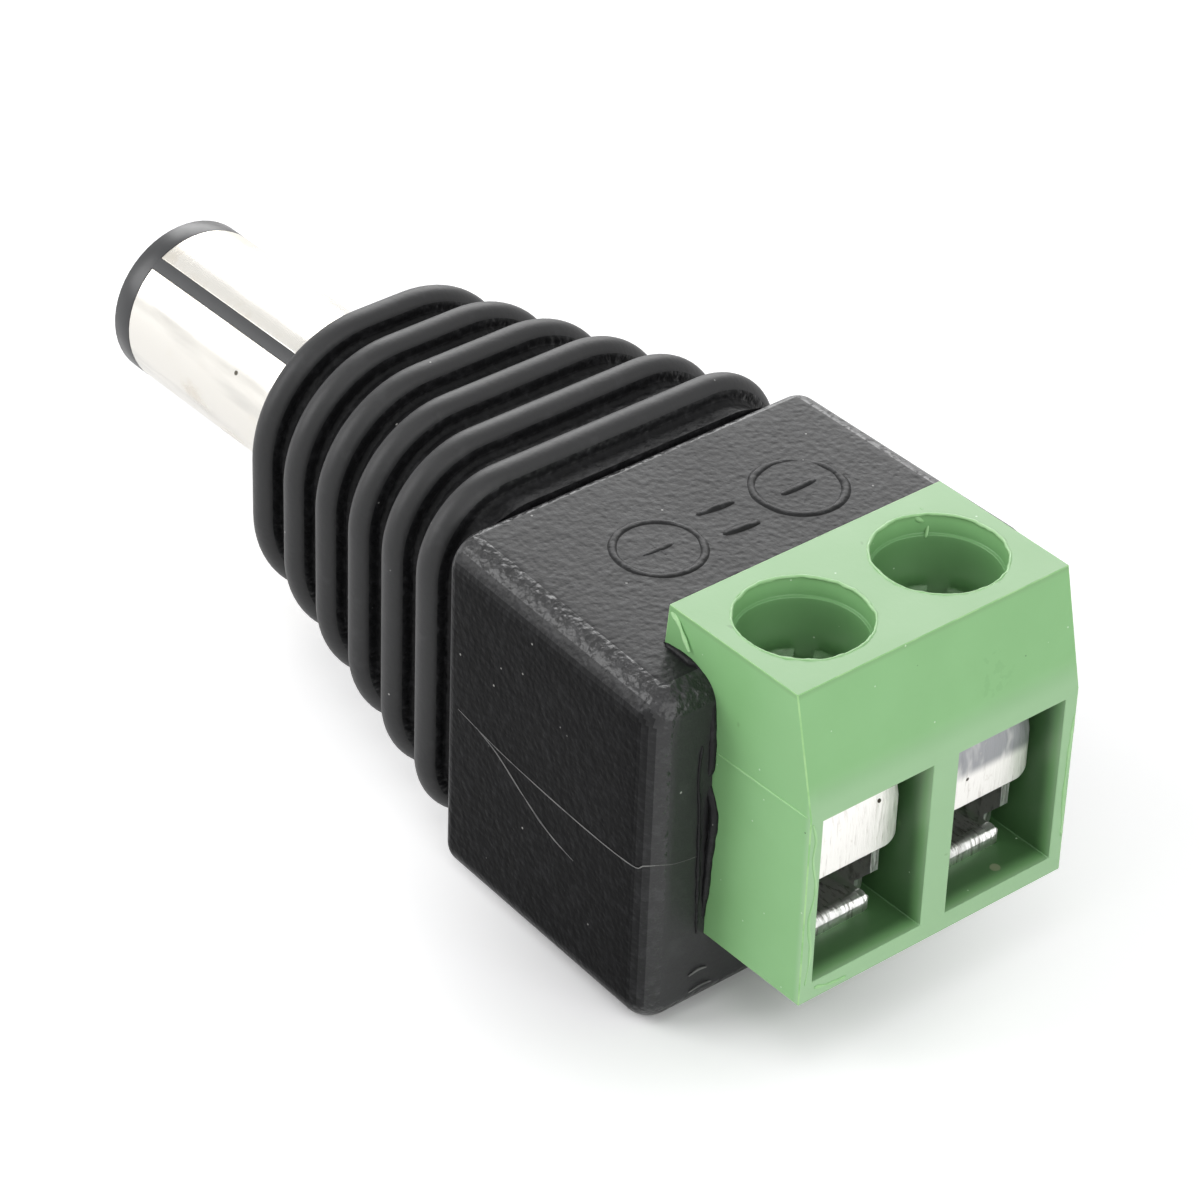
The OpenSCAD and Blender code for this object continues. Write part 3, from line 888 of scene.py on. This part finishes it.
# %% Seam, lip and scuffs
def on_side(x, z):
    """A point on the box's plus side, in millimetres, round its rear edge too."""
    station = x * MM
    share = (station - body_rear) / box_length
    half = mix(box_width_rear, box_width_front, share) / 2
    into = min(max(1 - (station - body_rear) / box_rear_radius, 0), 1)
    inset = box_rear_radius * (1 - math.sqrt(1 - into ** 2))
    return (x, (half - inset) / MM, z)


lips = bmesh.new()
lip = [(-11.9, 5.10, 11.62), (-12.76, 5.12, 11.66), (-13.45, 5.13, 11.50), (-13.98, 5.13, 10.91)]
lip += [(-14.13, 5.12, 9.02), (-14.00, 5.12, 8.13), (-14.34, 5.10, 7.18), (-14.25, 5.11, 5.69)]
lip += [(-14.16, 5.12, 4.18), (-13.95, 5.12, 2.60)]
add_bead(lips, lip, 0.15, wobble=0.25, sides=12, steps=14)
fold = [(-14.15, 5.52, 9.6), (-14.16, 5.60, 8.6), (-14.17, 5.52, 7.4), (-14.17, 5.47, 5.9)]
fold += [(-14.16, 5.42, 4.3), (-14.15, 5.38, 2.9)]
add_bead(lips, fold, 0.07, wobble=0.7)
minus_lip = [(x, -y, z) for x, y, z in lip]
add_bead(lips, minus_lip, 0.12, wobble=0.8)
finish_beads("body_flash", lips, black_pvc)

scuffs = bmesh.new()
seam = [on_side(x, z) for x, z in ((-5.1, 6.16), (-7.4, 5.86), (-10.8, 5.69), (-13.3, 5.74))]
seam += [on_side(-13.75, 5.9), on_side(-14.05, 5.97)]
seam += [(-14.15, 6.3, 5.86), (-14.15, 5.5, 5.72)]
scratch = [on_side(x, z) for x, z in ((-5.97, 6.05), (-7.02, 5.72), (-8.35, 5.0), (-9.55, 4.46))]
scratch += [on_side(-10.73, 4.2)]
add_bead(scuffs, seam, 0.018, wobble=0.5)
add_bead(scuffs, scratch, 0.024, wobble=0.8)
add_bead(scuffs, [(-14.17, 5.6, 1.42), (-14.22, 5.26, 1.55), (-14.19, 4.92, 1.46)], 0.035)
add_bead(scuffs, [(-14.17, 5.57, 0.80), (-14.22, 5.11, 0.92), (-14.19, 4.73, 0.84)], 0.03)
finish_beads("body_scuffs", scuffs, scuffed_pvc)
print("seams and scuffs added")

# %% [markdown]
# ## The green housing
#
# The housing keeps its CAD shape. Moulded plastic has no knife edges, so a copy
# of it gets a narrow bevel all round. The bevel takes the paler edge finish. Only edges
# near the outer sides and the top keep it, and those further in get the plain one
# back. The top and the front are set back by a hair, to leave room for the flash.

# %% Dress the housing
flash_room = 0.03 * MM
housing_data = merged_copy("terminal_housing")
for vert in housing_data.verts:
    if vert.co.z > housing_top - flash_room:
        vert.co.z -= flash_room
    if vert.co.x < housing_face + flash_room:
        vert.co.x += flash_room
housing = finish_piece("housing_skin", housing_data, green_plastic)
soft_edges(housing, 0.06 * MM, edge_material=green_pale_edge)
edge_zone = 0.3 * MM
for face in housing.data.polygons:
    on_side_face = abs(face.center.y) > house_high.y - edge_zone
    on_top_face = face.center.z > housing_top - edge_zone
    if not (on_side_face or on_top_face):
        face.material_index = 0
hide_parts("terminal_housing")
print("housing:", len(housing.data.polygons), "faces")

# %% [markdown]
# Flash is the thin skin that leaks between the halves of a mould. It stands up
# as a pale ragged rim round both screw holes and along the open front, and a few
# flakes of it hang loose. Rings and beads shaken by a noise look the same.

# %% Flash of the housing
rims = bmesh.new()
top_mm = housing_top / MM
for side in (1, -1):
    hole = (screw_x / MM, side * pole_y / MM, top_mm - 0.06)
    add_ring(rims, hole, 2.0, 0.05, steps=160)
wobbled(rims, 0.035, 1700)
wobbled(rims, 0.025, 5200)
add_bead(rims, [(-12.75, -3.62, 13.0), (-13.0, -3.72, 12.7), (-13.15, -3.55, 12.3)], 0.09, 0.8)
add_bead(rims, [(-12.70, -3.35, 12.98), (-12.95, -3.5, 12.78), (-12.9, -3.9, 12.6)], 0.07, 0.8)
finish_beads("hole_flash", rims, green_flash)

flakes = bmesh.new()
left_edge = [(-18.2, 5.0, 9.1), (-18.2, 4.84, 8.5), (-18.2, 4.9, 7.8), (-18.2, 4.72, 6.7)]
left_edge += [(-18.2, 4.9, 5.7), (-18.2, 4.76, 4.5), (-18.2, 4.88, 3.4)]
add_bead(flakes, left_edge, 0.045, wobble=1.2)
add_bead(flakes, [(-18.2, -5.02, 8.4), (-18.2, -4.92, 6.2), (-18.2, -5.0, 4.0)], 0.05, 1.2)
add_bead(flakes, [(-18.2, 4.5, 3.12), (-18.2, 3.84, 2.96), (-18.2, 3.3, 2.92)], 0.06, 1.2)
curl = [(-12.15, 5.10, 12.80), (-12.45, 5.12, 12.68), (-12.72, 5.15, 12.39), (-13.01, 5.16, 12.0)]
add_bead(flakes, curl, 0.07, wobble=0.9)
add_bead(flakes, [(-14.2, 5.08, 9.24), (-16.3, 5.08, 9.26), (-18.1, 5.08, 9.29)], 0.03)
add_bead(flakes, [(-14.2, -5.08, 9.24), (-16.3, -5.08, 9.26), (-18.1, -5.08, 9.29)], 0.03)
finish_beads("housing_flakes", flakes, green_flash)
print("flash added")

# %% [markdown]
# ## Metal parts of the terminal
#
# Sheet metal is sheared and folded, so its edges are a little rounded too. The
# barrel and its core get the same edge. The bush and the lugs are shut up inside the
# body, so their CAD meshes stay as they are and only get a material.

# %% Dress the clamps, guards and screws
metal_edge = 0.04 * MM
for pole in ("plus", "minus"):
    for part, body, material, slot in (
        ("clamp", "plug", clamp_tin, "tinned_sheet"),
        ("wire_guard", "guard_" + pole, guard_nickel, "nickel_sheet"),
        ("clamp_screw", "screw_" + pole, screw_steel, "screw_steel"),
    ):
        node = part + "_" + pole
        piece = finish_piece(node + "_skin", merged_copy(node), material, body)
        soft_edges(piece, metal_edge)
        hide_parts(node)
        print(node, len(piece.data.polygons), "faces")

# %% Dress the barrel and the inner pieces
for node, material, slot in (
    ("barrel_sleeve", sleeve_nickel, "nickel_sleeve"),
    ("barrel_insulator", insulator_black, "black_insulator"),
    ("centre_contact", contact_plate, "contact_brass"),
):
    piece = finish_piece(node + "_skin", merged_copy(node), material)
    soft_edges(piece, metal_edge)
    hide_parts(node)

for node, material in (
    ("rear_bush", insulator_black),
    ("sleeve_lug", lug_brass),
    ("centre_lug", lug_brass),
):
    nodes[node].data.materials.clear()
    nodes[node].data.materials.append(material)
print("barrel ready")

# %% [markdown]
# ## Floor, light and camera
#
# The plug lies on a white sheet in a light tent. The world lights it softly from
# all round, with a small lamp above, one behind on the plus side and one in front.
# A bright card behind gives the top faces their sheen, and as it is seen only in
# reflections, it adds no light to the floor. The world shows as white to the eye and
# in the metals. The sheet glows for the same rays, but less close to the housing,
# which paints a deeper shadow on the sheet there.

# %% Floor
def seen_directly(tree):
    """1 for a ray from the eye, or one that a mirror or a glass sends on."""
    path = tree.nodes.new("ShaderNodeLightPath")
    total = path.outputs["Is Camera Ray"]
    for kind in ("Is Glossy Ray", "Is Transmission Ray"):
        either = tree.nodes.new("ShaderNodeMath")
        either.operation = "MAXIMUM"
        tree.links.new(total, either.inputs[0])
        tree.links.new(path.outputs[kind], either.inputs[1])
        total = either.outputs["Value"]
    return total


def scaled(tree, value, gain, start):
    """A value times a gain, plus a start."""
    node = tree.nodes.new("ShaderNodeMath")
    node.operation = "MULTIPLY_ADD"
    tree.links.new(value, node.inputs[0])
    node.inputs[1].default_value = gain
    node.inputs[2].default_value = start
    return node.outputs["Value"]


floor_data = bmesh.new()
floor_half_side = 0.6
bmesh.ops.create_grid(floor_data, x_segments=1, y_segments=1, size=floor_half_side)
floor_mesh = bpy.data.meshes.new("floor")
floor_data.to_mesh(floor_mesh)
floor_data.free()
floor = bpy.data.objects.new("floor", floor_mesh)
bpy.context.scene.collection.objects.link(floor)
paper = Finish("paper", (0.93, 0.93, 0.935), 0.9, specular=0.2)
paper.bump(paper.noise(900, detail=4), 0.03 * MM, 0.25)
glow = paper.tree.nodes.new("ShaderNodeEmission")
glow.inputs["Color"].default_value = (1, 1, 1, 1)
# Painted shadow: the glow is weaker round a point beside the housing, so the sheet is darker
# there.
from_painted_shadow = paper.away((-12, 5, 0))
outside_painted_shadow = paper.ramp(from_painted_shadow, 1 * MM, 11 * MM)
least_glow = 0.02
glow_gain = 0.36
glow_level = scaled(paper.tree, outside_painted_shadow, glow_gain, least_glow)
glow_seen = paper.combine(seen_directly(paper.tree), glow_level)
paper.link(glow_seen, glow.inputs["Strength"])
both = paper.tree.nodes.new("ShaderNodeAddShader")
paper.link(paper.shader.outputs["BSDF"], both.inputs[0])
paper.link(glow.outputs["Emission"], both.inputs[1])
surface = paper.tree.nodes["Material Output"].inputs["Surface"]
paper.link(both.outputs["Shader"], surface)
floor.data.materials.append(paper.material)
print("floor ready")

# %% World and lamps
world = bpy.data.worlds.new("studio")
bpy.context.scene.world = world
world.use_nodes = True
sky = world.node_tree.nodes["Background"]
sky.inputs["Color"].default_value = (1, 1, 1, 1)
tent_light = 0.43
seen_white = scaled(world.node_tree, seen_directly(world.node_tree), 1 - tent_light, tent_light)
world.node_tree.links.new(seen_white, sky.inputs["Strength"])


def soft_box(name, place, size, power):
    """A square area lamp that looks at the plug."""
    light = bpy.data.lights.new(name, "AREA")
    light.shape = "SQUARE"
    light.size = size
    light.energy = power
    lamp = bpy.data.objects.new(name, light)
    bpy.context.scene.collection.objects.link(lamp)
    lamp.location = place
    aim = Vector((0, 0, axis_z)) - Vector(place)
    lamp.rotation_mode = "QUATERNION"
    lamp.rotation_quaternion = aim.to_track_quat("-Z", "Y")
    lamp.visible_camera = False
    return lamp


soft_box("top_box", (-0.06, 0.10, 0.30), 0.13, 0.09)
soft_box("left_box", (0.17, 0.21, 0.17), 0.20, 0.55)
soft_box("front_box", (-0.26, 0.02, 0.14), 0.25, 0.40)
card = soft_box("sheen_card", (0.195, -0.169, 0.160), 0.22, 0.72)
card.visible_diffuse = False
print("lamps ready")

# %% [markdown]
# The camera stands 15 cm away with a long lens, so lines stay almost parallel. It
# could be aimed by a constraint, but its axes are set directly here: along the view,
# to the right, and up, which follows from the other two.

# %% Camera
view_from = Vector((-91.07, 76.006, 87.90)) * MM
view_along = Vector((0.6181468, -0.5348421, -0.5760541))
view_right = Vector((-0.6374759, -0.7698575, 0.0307237))
view_up = view_right.cross(view_along)
camera_data = bpy.data.cameras.new("camera")
camera_data.lens = 141.765
camera_data.sensor_width = 36
camera_data.clip_start = 0.005
camera_data.clip_end = 5
camera = bpy.data.objects.new("camera", camera_data)
bpy.context.scene.collection.objects.link(camera)
turn = Matrix((view_right, view_up, -view_along)).transposed()
camera.matrix_world = Matrix.Translation(view_from) @ turn.to_4x4()
bpy.context.scene.camera = camera
bpy.context.scene.view_settings.view_transform = "Standard"
print("camera ready")

# %% Import json
import json
